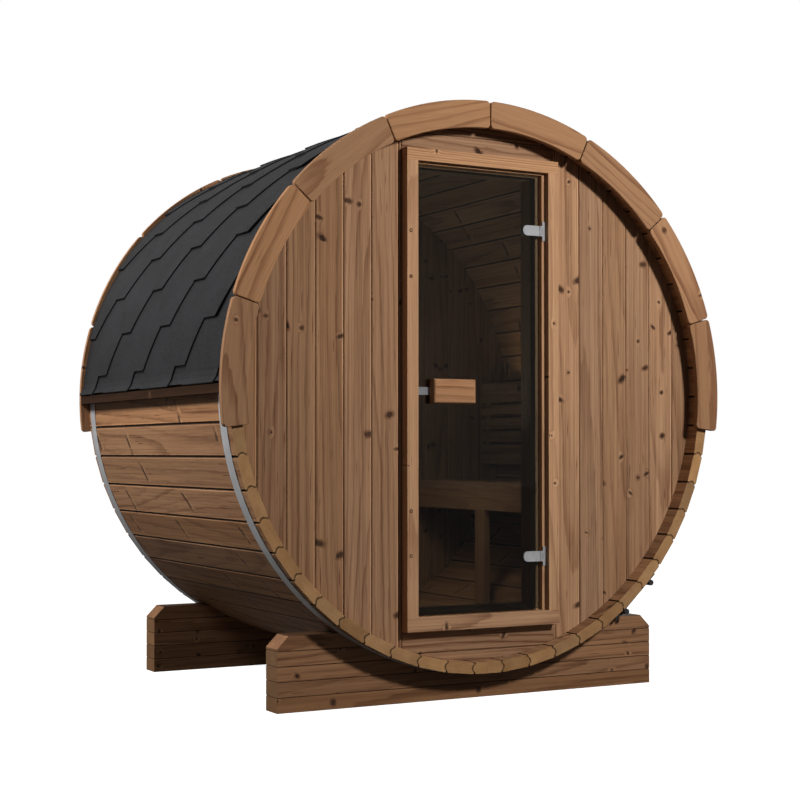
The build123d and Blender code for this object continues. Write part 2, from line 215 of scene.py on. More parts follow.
class Value:
    """Output of a node. A test such as a < b gives 1 where it is true and 0 where it isn't."""

    def __init__(self, socket):
        self.socket = socket
        self.tree = socket.id_data

    def math(self, operation, *others):
        """Math node, or a vector math node for a vector or a colour."""
        many = self.socket.type in ("VECTOR", "RGBA")
        made = self.tree.nodes.new("ShaderNodeVectorMath" if many else "ShaderNodeMath")
        made.operation = operation
        for socket, value in zip(made.inputs, (self, *others)):
            feed(socket, value)
        return Value(made.outputs[0])

    def __add__(self, other):
        return self.math("ADD", other)

    def __sub__(self, other):
        return self.math("SUBTRACT", other)

    def __rsub__(self, other):
        return self.math("MULTIPLY_ADD", -1.0, other)

    def __mul__(self, other):
        return self.math("MULTIPLY", other)

    def __truediv__(self, other):
        return self.math("DIVIDE", other)

    def __pow__(self, other):
        return self.math("POWER", other)

    def __lt__(self, other):
        return self.math("LESS_THAN", other)

    def __gt__(self, other):
        return self.math("GREATER_THAN", other)

    def __abs__(self):
        return self.math("ABSOLUTE")

    def swing(self, amount):
        """Take a value from 0..1 to either side of nought, over a range of this amount."""
        return (self - 0.5) * amount

    def ramp(self, low, high, to_low=0.0, to_high=1.0):
        """Smooth step from one value to another."""
        made = self.tree.nodes.new("ShaderNodeMapRange")
        made.interpolation_type = "SMOOTHSTEP"
        fill(made, Value=self, From_Min=low, From_Max=high, To_Min=to_low, To_Max=to_high)
        return Value(made.outputs[0])


print("values can be used in sums")


# %% Helpers for nodes
def node(tree, kind, settings=None, **inputs):
    """Add a node and give its outputs by name."""
    made = tree.nodes.new(kind)
    for key, value in (settings or {}).items():
        setattr(made, key, value)
    fill(made, **inputs)
    return {output.name: Value(output) for output in made.outputs}


def parts(value):
    """The three numbers in a vector or a colour."""
    if value.socket.type == "RGBA":
        return list(node(value.tree, "ShaderNodeSeparateColor", Color=value).values())
    return list(node(value.tree, "ShaderNodeSeparateXYZ", Vector=value).values())


def span(first, second):
    """Length of the slanted side over two sides at a right angle."""
    return (first * first + second * second).math("SQRT")


def blend(amount, first, second, mode="MIX"):
    """Mix two colours by an amount."""
    tree = next(value.tree for value in (amount, first) if isinstance(value, Value))
    made = tree.nodes.new("ShaderNodeMix")
    made.data_type = "RGBA"
    made.blend_type = mode
    for place, value in ((0, amount), (6, first), (7, second)):
        feed(made.inputs[place], value)
    return Value(made.outputs[2])


def noise(place, scale, detail=2.0, roughness=0.5, output=0):
    """Noise texture. Its first output is a number and its second a colour."""
    made = node(place.tree, "ShaderNodeTexNoise", Vector=place, Scale=scale, Detail=detail,
                Roughness=roughness)
    return list(made.values())[output]


def dice(value):
    """A random number and colour for each value."""
    return node(value.tree, "ShaderNodeTexWhiteNoise", {"noise_dimensions": "1D"}, W=value)


def bump(height, strength, distance):
    """Normal of a surface with this relief."""
    return node(height.tree, "ShaderNodeBump", Height=height, Strength=strength, Distance=distance)["Normal"]


print("node helpers are ready")


# %% Helpers for groups and materials
def new_group(name, **inputs):
    """Node group with these inputs: a number, a vector of three numbers or a colour of four."""
    tree = bpy.data.node_groups.new(name, "ShaderNodeTree")
    for label, default in inputs.items():
        size = len(default) if isinstance(default, tuple) else 1
        kind = {1: "Float", 3: "Vector", 4: "Color"}[size]
        socket = tree.interface.new_socket(label.replace("_", " "), in_out="INPUT",
                                           socket_type=f"NodeSocket{kind}")
        socket.default_value = default
    return tree, {output.name: Value(output) for output in tree.nodes.new("NodeGroupInput").outputs}


def give(tree, **results):
    """Add the group's outputs."""
    kinds = {"VALUE": "Float", "VECTOR": "Vector", "RGBA": "Color"}
    for label, value in results.items():
        kind = kinds[value.socket.type]
        tree.interface.new_socket(label, in_out="OUTPUT", socket_type=f"NodeSocket{kind}")
    fill(tree.nodes.new("NodeGroupOutput"), **results)
    print("group:", tree.name, "with", len(tree.nodes), "nodes")
    return tree


def placed(tree, group, **inputs):
    """Put a group into a tree."""
    return node(tree, "ShaderNodeGroup", {"node_tree": group}, **inputs)


def new_material(name):
    """Material with only its shader. Gives the material, the shader and the place on the piece."""
    material = bpy.data.materials.new(name)
    material.use_nodes = True
    shader = next(n for n in material.node_tree.nodes if n.type == "BSDF_PRINCIPLED")
    return material, shader, node(material.node_tree, "ShaderNodeTexCoord")["Object"]


nowhere = (0.0, 0.0, 0.0)
print("groups and materials can be made")

# %% [markdown]
# ## Where on its board is a point?
# Grain runs along a board, so a point's place has to be known from the board's own point of view: how far
# along, how far across and how deep. A ring of staves and a row of planks need this worked out in two ways.
# Each board also gets a number of its own, from which its tone and its rings are picked later.


# %% Group: boards side by side in a circle
def build_ring_of_boards():
    """Place on the board for boards set round the barrel's axis."""
    tree, given = new_group("boards in a ring", Place=nowhere, Turn=stave_turn, Shift=0.5)
    x, y, z = parts(given["Place"])
    height = z - axis_height
    angle = x.math("ARCTAN2", height).math("DEGREES")
    number = (angle / given["Turn"] + given["Shift"]).math("FLOOR")
    off = (angle - (number - given["Shift"] + 0.5) * given["Turn"]).math("RADIANS")
    reach = span(x, height)
    return give(tree, Around=reach * off.math("SINE"), Outwards=reach * off.math("COSINE"), Along=y,
                Number=number)


ring_of_boards = build_ring_of_boards()


# %% Group: boards side by side in a row
def build_row_of_boards():
    """Place on the board for boards of one width, side by side."""
    tree, given = new_group("boards in a row", Across=0.0, Width=0.1, Start=0.0)
    steps = (given["Across"] - given["Start"]) / given["Width"]
    number = steps.math("FLOOR")
    return give(tree, Across=(steps - number - 0.5) * given["Width"], Number=number)


row_of_boards = build_row_of_boards()

# %% [markdown]
# ## Knots
# A knot is a branch cut across. A young tree grows its branches in whorls, so on a wall board several knots
# share a height, and those beside the trunk's heart lie slanted, like the arms of a V. A stave is often cut
# so that it meets the branches lengthwise: they cross it as faint dark bands with a pale edge, called spikes.
# Both groups scatter cells over the board, keep a few of them, and measure from the middle of the cell.


# %% Group: knots in whorls
knot_inputs = {"Place": nowhere, "Across": 0.0, "Count": 0.6, "Whorl_Pitch": 0.40, "Size": 1.0}
cells_along = 17.0
cells_across = 24.0


def build_knots():
    """Knots of one board: the dark core, the brown collar and the pale wood round it."""
    tree, given = new_group("knots in whorls", **knot_inputs)
    cells = node(tree, "ShaderNodeTexVoronoi", {"voronoi_dimensions": "2D"}, Scale=1.0, Randomness=0.65,
                 Vector=given["Place"] * (cells_along, cells_across, 0.0))
    chance = parts(cells["Color"])
    middle = cells["Position"] / (cells_along, cells_across, 1.0)
    off = parts(given["Place"] - middle)

    # a cell keeps its knot near a whorl, and now and then between two whorls
    whorl = (parts(middle)[0] / given["Whorl Pitch"]).math("FRACT")
    kept = (abs(whorl - 0.5) < 0.055) * (chance[0] < given["Count"])
    stray = chance[0] < given["Count"] * 0.045
    present = kept.math("MAXIMUM", stray)
    size = given["Size"] * (chance[2] ** 1.6 * 0.0064 + 0.0034)

    # the further from the board's middle, the longer and the more slanted
    beside = given["Across"] - off[1]
    sideways = off[1] * beside.math("SIGN")
    lean = chance[1] * 0.70
    level_part = (1.0 - lean * lean).math("SQRT")
    stretch = abs(beside).math("MINIMUM", 0.045) * 26.0 + 1.0
    long_way = (off[0] * lean + sideways * level_part) / stretch
    short_way = off[0] * level_part - sideways * lean
    rag = noise(given["Place"], 190.0, 3.0, 0.6)
    ragged = (span(long_way, short_way) + rag.swing(0.0090)) / size
    around = span(off[0] / 1.4, off[1])
    core = chance[1] * 0.30 + 0.70
    return give(tree, Knot=ragged.ramp(1.10, 0.80) * present * core, Collar=ragged.ramp(2.1, 1.1) * present,
                Halo=around.ramp(0.019, 0.003) * present)


whorl_knots = build_knots()


# %% Group: spikes across a stave
def build_spikes():
    """Branches cut lengthwise: a slanted dark band that fades and returns, and the pale wood along it."""
    tree, given = new_group("spikes", **knot_inputs)
    along = parts(given["Place"])[0]
    cells = node(tree, "ShaderNodeTexVoronoi", {"voronoi_dimensions": "1D"}, Scale=1.0,
                 W=along / given["Whorl Pitch"])
    chance = parts(cells["Color"])
    present = chance[2] < given["Count"]
    off = along - cells["W"] * given["Whorl Pitch"]
    beside = given["Across"] + chance[0].swing(0.05)
    slant = chance[1] * 0.45 + 0.25
    waver = noise(given["Place"], 60.0)
    sideways = off - slant * beside - beside * beside * 2.4 - waver.swing(0.006)
    within = (abs(beside) / (chance[0] * 0.034 + 0.024)).ramp(1.1, 0.75)
    fading = noise(given["Place"], 34.0, 1.0)
    line = (abs(sideways) / (given["Size"] * 0.0130)).ramp(1.0, 0.45)
    solid = line * within * present
    pale = abs(sideways + 0.012).ramp(0.024, 0.006)
    return give(tree, Knot=solid * fading.ramp(0.36, 0.60, 0.10, 0.85), Collar=solid * 0.45,
                Halo=pale * within * present)


spikes = build_spikes()

# %% [markdown]
# ## Pine
# A board is a slice of a trunk. Its face shows the yearly rings cut at a slant: straight lines near the
# trunk's rim and pointed arches near its heart. So the group imagines the trunk's heart somewhere behind the
# board, measures the distance to it, bends that a little, and turns it into thin dark rings. Over that lie
# fibres, streaks of dark sap and broad bands of tone. Heat-treated pine is brown where it is dark and greyer
# where it is pale, which is why the two colours differ in more than lightness. The colours are linear values,
# so 0.30 is a middle tone, not a dark one.

# %% Group: pine grain
wood_light = (0.425, 0.248, 0.140, 1)
wood_dark = (0.135, 0.060, 0.031, 1)


def build_pine():
    """Colour, height and roughness of one board, from the place on the board and the board's number."""
    tree, given = new_group(
        "pine grain", Place=nowhere, Along=0.0, Across=0.0, Deep=0.0, Number=0.0, Seed=0.0, Light=wood_light,
        Dark=wood_dark, Ring_Strength=0.5, Ring_Pitch=0.0048, Heart_Depth=0.02, Streaks=0.5, Bands=0.7,
        Board_Tone=0.16, Knot=0.0, Collar=0.0, Halo=0.0)
    own = given["Number"] * 1.37 + given["Seed"]
    chance = parts(dice(own + 0.31)["Color"])
    halo, knot, streaks, bands = (given[name] for name in ("Halo", "Knot", "Streaks", "Bands"))

    def stretched(along, across, detail, output=0):
        """Noise that is drawn out along the board."""
        return noise(given["Place"] * (along, across, across), 1.0, detail, output=output)

    # the trunk's heart, behind the board and slightly out of line with it
    bends = parts(stretched(0.8, 2.0, 1.0, output=1))
    side = given["Across"] + chance[0].swing(0.22) + bends[0].swing(0.016)
    deep = given["Deep"] + given["Heart Depth"] + chance[1] * 0.030 + bends[1].swing(0.014)
    reach = span(side, deep + given["Along"] * chance[2].swing(0.018))
    reach = reach + stretched(7.0, 45.0, 2.0) * 0.0020 + halo * 0.0036

    # rings: a slow rise to the dark late wood, then a quick return
    turns = reach / (given["Ring Pitch"] * (chance[2] * 0.4 + 0.8))
    ring = turns.math("FRACT")
    year = dice(turns.math("FLOOR") + own)["Value"]
    late = ring.ramp(0.50, 0.94) * ring.ramp(1.0, 0.94) * (year * 0.55 + 0.45) * given["Ring Strength"]

    # fibres, streaks, short marks and broad bands along the board
    fibre = stretched(11.0, 260.0, 3.0)
    streak = stretched(0.9, 52.0, 2.0)
    depth = late + fibre.swing(0.44) + streak.swing(streaks * 0.55) + halo * -0.18 + 0.40
    depth = depth + stretched(1.6, 160.0, 2.0).swing(streaks * 1.15)
    depth = depth + stretched(7.0, 170.0, 1.0).ramp(0.70, 0.78) * streaks
    depth = depth + stretched(0.40, 15.0, 1.0).swing(bands) + stretched(1.8, 9.0, 2.0).swing(bands * 0.4)
    colour = blend(depth, given["Light"], given["Dark"])

    # every board has its own tone, a little redder or yellower than its neighbour
    tone = chance[1].swing(given["Board Tone"]) + 1.0
    warmth = chance[2].swing(0.10)
    tint = node(tree, "ShaderNodeCombineColor", Red=tone + warmth * 0.5, Green=tone, Blue=tone - warmth)
    colour = blend(1.0, colour, tint["Color"], "MULTIPLY")
    colour = blend(given["Collar"] * 0.70, colour, (0.105, 0.046, 0.024, 1))
    colour = blend(knot * 0.92, colour, (0.024, 0.013, 0.009, 1))
    return give(tree, Color=colour, Height=fibre * 0.5 - late * 0.4 - knot * 0.5,
                Roughness=streak * 0.16 - knot * 0.12 + 0.58)


pine = build_pine()

# %% [markdown]
# ## Edges of a board
# A painted highlight lightens the lip where a joint meets the face, and dust and painted shade darken the
# groove beside it. This group takes the distance to the joint and gives both effects, so that staves and wall
# boards share it.


# %% Group: board edges
def build_board_edge():
    """Colour near a joint: a painted highlight on the lip and painted shade down in the groove."""
    tree, given = new_group("board edge", Color=wood_light, From_Joint=0.02, Groove=0.0026, Lip=0.0080,
                            Rub=0.35, Shade=0.85)
    # painted shade: near the joint the colour is drawn towards a dark brown, the shade down in the groove
    groove = 1.0 - given["From Joint"].ramp(given["Groove"] * 0.6, given["Groove"] * 1.4)
    # painted highlight: the lip is lightened as if the light caught it
    lip = 1.0 - given["From Joint"].ramp(given["Lip"] * 0.75, given["Lip"])
    lit_lip = lip * given["Rub"] + 1.0
    pale = node(tree, "ShaderNodeCombineColor", Red=lit_lip, Green=lit_lip, Blue=lit_lip)["Color"]
    colour = blend(1.0, given["Color"], pale, "MULTIPLY")
    return give(tree, Color=blend(groove * given["Shade"], colour, (0.018, 0.010, 0.007, 1)))


board_edge = build_board_edge()

# %% [markdown]
# ## How the boards lie
# Each use of timber has its own way of laying boards. A layout is a function that takes the place on the
# piece and gives how far along, across and deep that is on its board, and the board's number. An edge is a
# function that gives the distance to the nearest joint, for the board edge group.


# %% Staves and the ring boards
def in_ring(place, turn=stave_turn, shift=0.5):
    return placed(place.tree, ring_of_boards, Place=place, Turn=turn, Shift=shift)


def staves_layout(place):
    found = in_ring(place)
    return found["Along"], found["Around"], found["Outwards"], found["Number"]


def from_stave_joint(found):
    """The joints between staves are planes through the barrel's axis."""
    return found["Outwards"] * math.tan(math.radians(stave_turn / 2)) - abs(found["Around"])


outer_groove = 1.0115
inner_groove = 0.9815


def stave_edge(place):
    """Deeper than the grooves the joints don't show."""
    found = in_ring(place)
    between = (found["Outwards"] < outer_groove) * (found["Outwards"] > inner_groove)
    # painted highlight on the lips and painted shade in the grooves between the staves
    return {"From_Joint": from_stave_joint(found) + between * 0.02, "Groove": 0.0048, "Lip": 0.0100,
            "Rub": 0.34, "Shade": 0.95}


bead_radius = 0.999
bead_half = 0.0146
bead_turn = 0.009


def stave_ends(place):
    """Beads and coves: a joint bulges upwards, so the place is first turned down by the bulge."""
    x, y, z = parts(place)
    height = z - axis_height
    off = (span(x, height) - bead_radius) / bead_half
    turn = (1.0 - off * off).math("MAXIMUM", 0.0) * bead_turn * x.math("SIGN")
    moved = node(place.tree, "ShaderNodeCombineXYZ", X=x + height * turn, Y=y, Z=z - x * turn)["Vector"]
    found = in_ring(moved)
    return found["Around"], found["Outwards"], found["Number"], from_stave_joint(found)


def trim_layout(place):
    """The front and the back ring have boards of their own."""
    found = in_ring(place, 24.4, 0.0)
    number = found["Number"] + found["Along"].math("SIGN") * 20.0
    return found["Around"], found["Outwards"] - 1.0, found["Along"], number


print("a stave covers", round(stave_turn, 2), "degrees of the ring")


# %% Boards in rows
def boards(run, across, width, start):
    """Layout for boards that run along one axis and lie side by side along another: 0, 1, 2 for X, Y, Z."""
    def layout(place):
        split = parts(place)
        row = placed(place.tree, row_of_boards, Across=split[across], Width=width, Start=start)
        return split[run], row["Across"], split[3 - run - across], row["Number"]
    return layout


def upright_edge(width, start):
    """Upright boards get a painted highlight on their right-hand edge, the side the light falls on, and
    painted shade in the groove at both.
    """
    def edge(place):
        across = boards(2, 0, width, start)(place)[1]
        from_left = across + width / 2
        from_right = width / 2 - across
        by_left = from_left < 0.0026
        nearest = from_right + by_left * (from_left - from_right)
        # painted highlight on the right-hand lip and painted shade in the grooves
        return {"From_Joint": nearest, "Groove": 0.0015, "Lip": 0.0082, "Rub": 0.55, "Shade": 0.88}
    return edge


cradle_layer = 0.053
cradle_boards = boards(0, 2, cradle_layer, 0.0)


def cradle_layout(place):
    """The two cradles have layers of their own."""
    along, across, deep, number = cradle_boards(place)
    return along, across, deep, number + deep.math("SIGN") * 9.0


def cradle_edge(place):
    from_joint = cradle_layer / 2 - abs(cradle_boards(place)[1])
    # a faint painted highlight on the lips and painted shade in the joints between the layers
    return {"From_Joint": from_joint, "Groove": 0.0016, "Lip": 0.0030, "Rub": 0.10, "Shade": 0.80}


def cradle_ends(place):
    """On the sawn ends the joints between the layers don't show."""
    return cradle_layout(place)[1:] + (None,)


print("layouts are ready")

# %% [markdown]
# ## The timber finishes
# All the timber is the same heat-treated pine, but each use has its own boards. A finish says how to find the
# board, which way the grain runs, and how light, ringed and knotty this wood is. End grain is shown where a
# face looks along the board.


# %% Timber
def end_grain(place, colour, shift, seed, axis, light, layout):
    """Lay end grain over the faces that look along an axis."""
    tree = place.tree
    across, deep, number, from_joint = layout(place)
    spot = node(tree, "ShaderNodeCombineXYZ", X=0.0, Y=across, Z=deep)["Vector"] + shift
    dark = (light[0] * 0.48, light[1] * 0.42, light[2] * 0.38, 1)
    grain = placed(tree, pine, Place=spot, Across=across, Deep=deep, Number=number, Seed=seed + 0.5,
                   Light=light, Dark=dark, Ring_Strength=0.55, Ring_Pitch=0.0045, Heart_Depth=0.04,
                   Streaks=0.25, Bands=0.8, Board_Tone=0.36)
    speck = noise(place, 900.0).ramp(0.50, 0.72, 0.0, 0.35)
    end = blend(speck, grain["Color"], (0.12, 0.065, 0.032, 1))
    if from_joint:
        end = blend(from_joint.ramp(0.0048, 0.0016) * 0.85, end, (0.030, 0.016, 0.010, 1))
    facing = abs(parts(node(tree, "ShaderNodeNewGeometry")["Normal"])[axis])
    return blend(facing.ramp(0.80, 0.95), colour, end)


def timber(name, layout, light=wood_light, dark=wood_dark, seed=0.0, knots=0.6, knot_kind=whorl_knots,
           knot_size=1.0, whorls=0.40, rings=0.5, streaks=0.5, bands=0.7, tone=0.16, gloss=0.22, edge=None,
           ends=None):
    """Timber material. ends gives the axis, the light colour and the layout of end faces."""
    material, shader, place = new_material(name)
    tree = place.tree
    along, across, deep, number = layout(place)
    shift = dice(number * 1.37 + seed)["Color"] * (19.0, 7.0, 5.0)
    spot = node(tree, "ShaderNodeCombineXYZ", X=along, Y=across, Z=deep)["Vector"] + shift
    grown = placed(tree, knot_kind, Place=spot, Across=across, Count=knots, Whorl_Pitch=whorls,
                   Size=knot_size)
    grain = placed(tree, pine, Place=spot, Along=along, Across=across, Deep=deep, Number=number, Seed=seed,
                   Light=light, Dark=dark, Ring_Strength=rings, Streaks=streaks, Bands=bands,
                   Board_Tone=tone, **grown)
    colour = grain["Color"]
    if edge:
        colour = placed(tree, board_edge, Color=colour, **edge(place))["Color"]
    if ends:
        colour = end_grain(place, colour, shift, seed, *ends)
    fill(shader, Base_Color=colour, Roughness=grain["Roughness"], Specular_IOR_Level=gloss,
         Normal=bump(grain["Height"], 0.35, 0.0012))
    print(name, "has", len(tree.nodes), "nodes")
    return material


# %% Finishes of the barrel, the rings and the cradles
stave_wood = timber("stave_wood", staves_layout, seed=3.0, light=(0.450, 0.243, 0.122, 1),
                    dark=(0.125, 0.051, 0.025, 1), knots=0.75, knot_kind=spikes, whorls=0.52, rings=0.34,
                    streaks=0.70, bands=0.45, tone=0.34, edge=stave_edge,
                    ends=(1, (0.45, 0.258, 0.118, 1), stave_ends))
trim_wood = timber("trim_wood", trim_layout, light=(0.418, 0.230, 0.117, 1), dark=(0.165, 0.070, 0.034, 1),
                   seed=11.0, knots=0.30, whorls=0.30, rings=0.55, streaks=0.30, bands=0.15, tone=0.26)
cradle_wood = timber("cradle_wood", cradle_layout, seed=5.0, light=(0.355, 0.183, 0.090, 1),
                     dark=(0.090, 0.036, 0.017, 1), knots=0.5, rings=0.4, streaks=0.6, bands=0.4,
                     tone=0.24, edge=cradle_edge, ends=(0, (0.27, 0.147, 0.070, 1), cradle_ends))
eave_wood = timber("eave_wood", boards(1, 2, 0.2, 1.0), light=(0.042, 0.021, 0.011, 1),
                   dark=(0.016, 0.008, 0.005, 1), seed=71.0, knots=0.1, rings=0.3, gloss=0.05)

# %% Finishes of the walls and the door frame
board_pitch = 0.1105
strip_edge = 0.3375
casing_half = 0.325
frame_look = {"light": (0.560, 0.322, 0.170, 1), "dark": (0.200, 0.090, 0.046, 1), "streaks": 0.6,
              "bands": 0.2}
wall_woods = {}
for side, start, seed, knots, light in (("left", -strip_edge, 21.0, 0.52, (0.364, 0.206, 0.111, 1)),
                                        ("right", strip_edge, 27.0, 0.55, wood_light)):
    wall_woods[side] = timber(f"wall_wood_{side}", boards(2, 0, board_pitch, start), light=light, seed=seed,
                              knots=knots, rings=0.40, streaks=0.85, bands=0.45, tone=0.34,
                              edge=upright_edge(board_pitch, start))
header_wood = timber("header_wood", boards(0, 2, 0.19, 0.046), light=(0.390, 0.225, 0.125, 1), seed=33.0,
                     knots=0.45, rings=0.7, streaks=0.8, bands=0.5)
jamb_wood = timber("jamb_wood", boards(2, 0, 2 * casing_half / 15, -casing_half), seed=41.0, knots=0.35,
                   knot_size=0.6, rings=0.3, **frame_look)
rail_wood = timber("rail_wood", boards(0, 2, 1.0, -0.1), seed=45.0, knots=0.9, knot_size=0.7, whorls=0.11,
                   rings=0.5, **frame_look)
handle_wood = timber("handle_wood", boards(0, 2, 0.2, 1.0), light=(0.435, 0.230, 0.116, 1),
                     dark=(0.215, 0.098, 0.046, 1), seed=52.0, knots=0.0, rings=0.7, bands=0.2)

# %% Finishes of the bench
bench_wood = timber("bench_wood", boards(1, 0, 0.104, 0.485), seed=61.0, knots=0.3, bands=0.3)
fascia_wood = timber("fascia_wood", boards(1, 2, 0.2, 0.6), seed=65.0, knots=0.0, bands=0.3, rings=0.3)
backrest_wood = timber("backrest_wood", boards(1, 2, 0.06, 0.2), seed=66.0, knots=0.1, bands=0.2)
post_wood = timber("post_wood", boards(2, 0, 0.3, 0.3), seed=68.0, knots=0.0, bands=0.3)


# %% Timber on the parts that stay as they are
def finish(material, *words):
    """Paint every part of the frame that has one of these words in its name."""
    found = [part for name, part in nodes.items() if any(word in name for word in words)]
    for part in found:
        paint(part, material)
    print(material.name.split(".")[0], "is on", [part.name for part in found])


finish(stave_wood, "staves")
finish(trim_wood, "trim")
finish(cradle_wood, "cradle")
finish(eave_wood, "eave")
finish(wall_woods["left"], "wall")
finish(jamb_wood, "jamb")
finish(rail_wood, "door_head", "door_sill")
finish(handle_wood, "handle")
finish(bench_wood, "bench_seat")
finish(fascia_wood, "bench_fascia")
finish(backrest_wood, "backrest_slats")
finish(post_wood, "bench_post", "backrest_uprights", "bench_bearers")

# %% [markdown]
# ## Steel, glass and felt
# Galvanised bands are dull grey with faint marks along them. The hinges are bright and smooth. The door is
# bronze smoked glass, which keeps an even metallic and transmission value so that it stays glass everywhere.
# Roofing felt is charcoal with mineral grit, which sparkles a little and is rough to the touch.


# %% Steel
def build_brushed():
    """Fine marks along one direction, as a value round one half."""
    tree, given = new_group("brushed marks", Place=nowhere, Stretch=(40.0, 40.0, 900.0))
    marks = noise(given["Place"] * given["Stretch"], 1.0, 3.0)
    return give(tree, Marks=marks * 0.6 + noise(given["Place"], 22.0, 3.0) * 0.4)


brushed = build_brushed()


def steel(name, red, blue, roughness, stretch, metallic):
    """Grey steel, with a touch of blue."""
    material, shader, place = new_material(name)
    marks = placed(place.tree, brushed, Place=place, Stretch=stretch)["Marks"]
    colour = blend(marks.ramp(0.3, 0.7), (red * 0.72, red * 0.72, blue * 0.73, 1), (red, red, blue, 1))
    fill(shader, Base_Color=colour, Roughness=marks.ramp(0.3, 0.7, roughness + 0.08, roughness - 0.06),
         Normal=bump(marks, 0.15, 0.0004), Metallic=metallic)
    return material


# the tighteners' names have the hoops' in them, so the hoops come first
finish(steel("hoop_steel", 0.58, 0.59, 0.45, (6, 900, 6), 0.35), "hoop")
finish(steel("black_steel", 0.030, 0.032, 0.45, (60, 60, 60), 0.0), "tightener")
finish(steel("bright_steel", 0.62, 0.63, 0.32, (700, 60, 60), 0.5), "hinge")
finish(steel("latch_steel", 0.34, 0.35, 0.35, (60, 60, 900), 0.5), "latch")

# %% Smoked glass
glass, shader, place = new_material("door_glass")
wipe = noise(place, 5.0)
fill(shader, Transmission_Weight=1.0, IOR=1.29, Roughness=wipe.ramp(0.35, 0.75, 0.0, 0.012),
     Base_Color=blend(wipe.ramp(0.3, 0.7), (0.245, 0.278, 0.262, 1), (0.268, 0.304, 0.286, 1)))
finish(glass, "glass")

# %% Roofing felt
felt, shader, place = new_material("shingle_felt")
grain = parts(node(place.tree, "ShaderNodeTexVoronoi", Vector=place, Scale=620.0)["Color"])[0]
patch = noise(place, 9.0, 4.0, 0.6)
grey = blend(grain, (0.0043, 0.0043, 0.0047, 1), (0.0195, 0.0195, 0.0212, 1))
grey = blend(patch.ramp(0.35, 0.68, 0.0, 0.45), grey, (0.0205, 0.0205, 0.0222, 1))
fill(shader, Base_Color=grey, Roughness=grain.ramp(0.0, 1.0, 0.80, 0.55), Normal=bump(grain, 0.5, 0.0008))
finish(felt, "shingles")

# %% [markdown]
# ## Wall boards
# The end walls are tongued boards with a small bevel on each long edge. One board is a box whose long edges
# are bevelled in edit mode, after its faces are drawn in a little to leave a slot over the tongue. The boards
# of a wall are joined, and the row is cut to the round of the barrel with a cylinder. Over and under the door
# the boards lie across.

# %% Model a board
board_gap = 0.0004
board_slot = 0.0012
board_bevel = 0.0035
tongue_depth = 0.009


def board(low, high, run):
    """Board with a slot and a bevel along each long edge, on both faces. run is the axis of its length."""
    centre = [(a + b) / 2 for a, b in zip(low, high)]
    deselect_all()
    bpy.ops.mesh.primitive_cube_add(size=1, location=centre)
    bpy.context.object.scale = [b - a for a, b in zip(low, high)]
    piece = named("board")
    pick(piece, "FACE")
    for depth in (low[1] + tongue_depth, high[1] - tongue_depth):
        bpy.ops.mesh.select_all(action="SELECT")
        bpy.ops.mesh.bisect(plane_co=(0, depth, 0), plane_no=(0, 1, 0))
    leave()
    across = 2 - run
    width = high[across] - low[across]
    shrink = [1, 1, 1]
    shrink[across] = (width - 2 * board_slot) / width
    for face in (low[1], high[1]):
        pick(piece, "VERT", lambda point: abs(point.co.y - face) < 1e-5)
        bpy.ops.transform.resize(value=shrink, center_override=centre)
        leave()

    def long_edge(edge):
        """True on the two faces, where an edge runs along the board."""
        start, end = (point.co for point in edge.verts)
        middle = (start.y + end.y) / 2
        on_face = min(abs(middle - low[1]), abs(middle - high[1])) < 1e-5
        return on_face and abs((end - start)[run]) > 0.999 * (end - start).length
    pick(piece, "EDGE", long_edge)
    bpy.ops.mesh.bevel(offset=board_bevel, offset_type="OFFSET", segments=1, affect="EDGES")
    leave()
    return piece


print("a board takes", board_pitch, "m of the wall")


# %% Put a wall together
def finish_wall(name, row, low, high, wood, replaced):
    """Join a row of boards, cut it to the round of the barrel and dress it."""
    wall = join(name, row)
    cutter = cylinder("round_cutter", 192, wall_radius, low - 0.05, high + 0.05, (0, axis_height))
    finish_with(wall, "BOOLEAN", operation="INTERSECT", object=cutter, solver="EXACT")
    bpy.data.objects.remove(cutter)
    dress(wall, wood, "wall_wood", replaced)
    print(name, "has", len(row), "boards and", len(wall.data.polygons), "faces")


# %% Boards on both sides of the door
front_low, front_high = (corner.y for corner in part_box("front_wall_left"))
foot, top = axis_height - 1.0, axis_height + 1.0


def upright_row(edges, low, high):
    """Upright boards, one from each edge to the next."""
    return [board((left + board_gap / 2, low, foot), (right - board_gap / 2, high, top), 2)
            for left, right in zip(edges, edges[1:])]


edges = [casing_half] + [strip_edge + board_pitch * k for k in range(7)]
for side, sign in (("left", -1), ("right", 1)):
    row = upright_row(sorted(sign * edge for edge in edges), front_low, front_high)
    finish_wall(f"front_boards_{side}", row, front_low, front_high, wall_woods[side], f"front_wall_{side}")

# %% Boards over and under the door
levels_above = (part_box("door_head")[1].z, axis_height + 0.932, top)
levels_below = (foot, axis_height - 0.940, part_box("door_sill")[0].z)
for name, levels in (("above", levels_above), ("below", levels_below)):
    row = [board((-casing_half + board_gap, front_low, low + board_gap / 2),
                 (casing_half - board_gap, front_high, high - board_gap / 2), 0)
           for low, high in zip(levels, levels[1:])]
    finish_wall(f"front_boards_{name}", row, front_low, front_high, header_wood, f"front_wall_{name}_door")

# %% The back wall
row = upright_row([board_pitch * k - strip_edge for k in range(-6, 14)], wall_low.y, wall_high.y)
finish_wall("back_boards", row, wall_low.y, wall_high.y, wall_woods["left"], "back_wall")
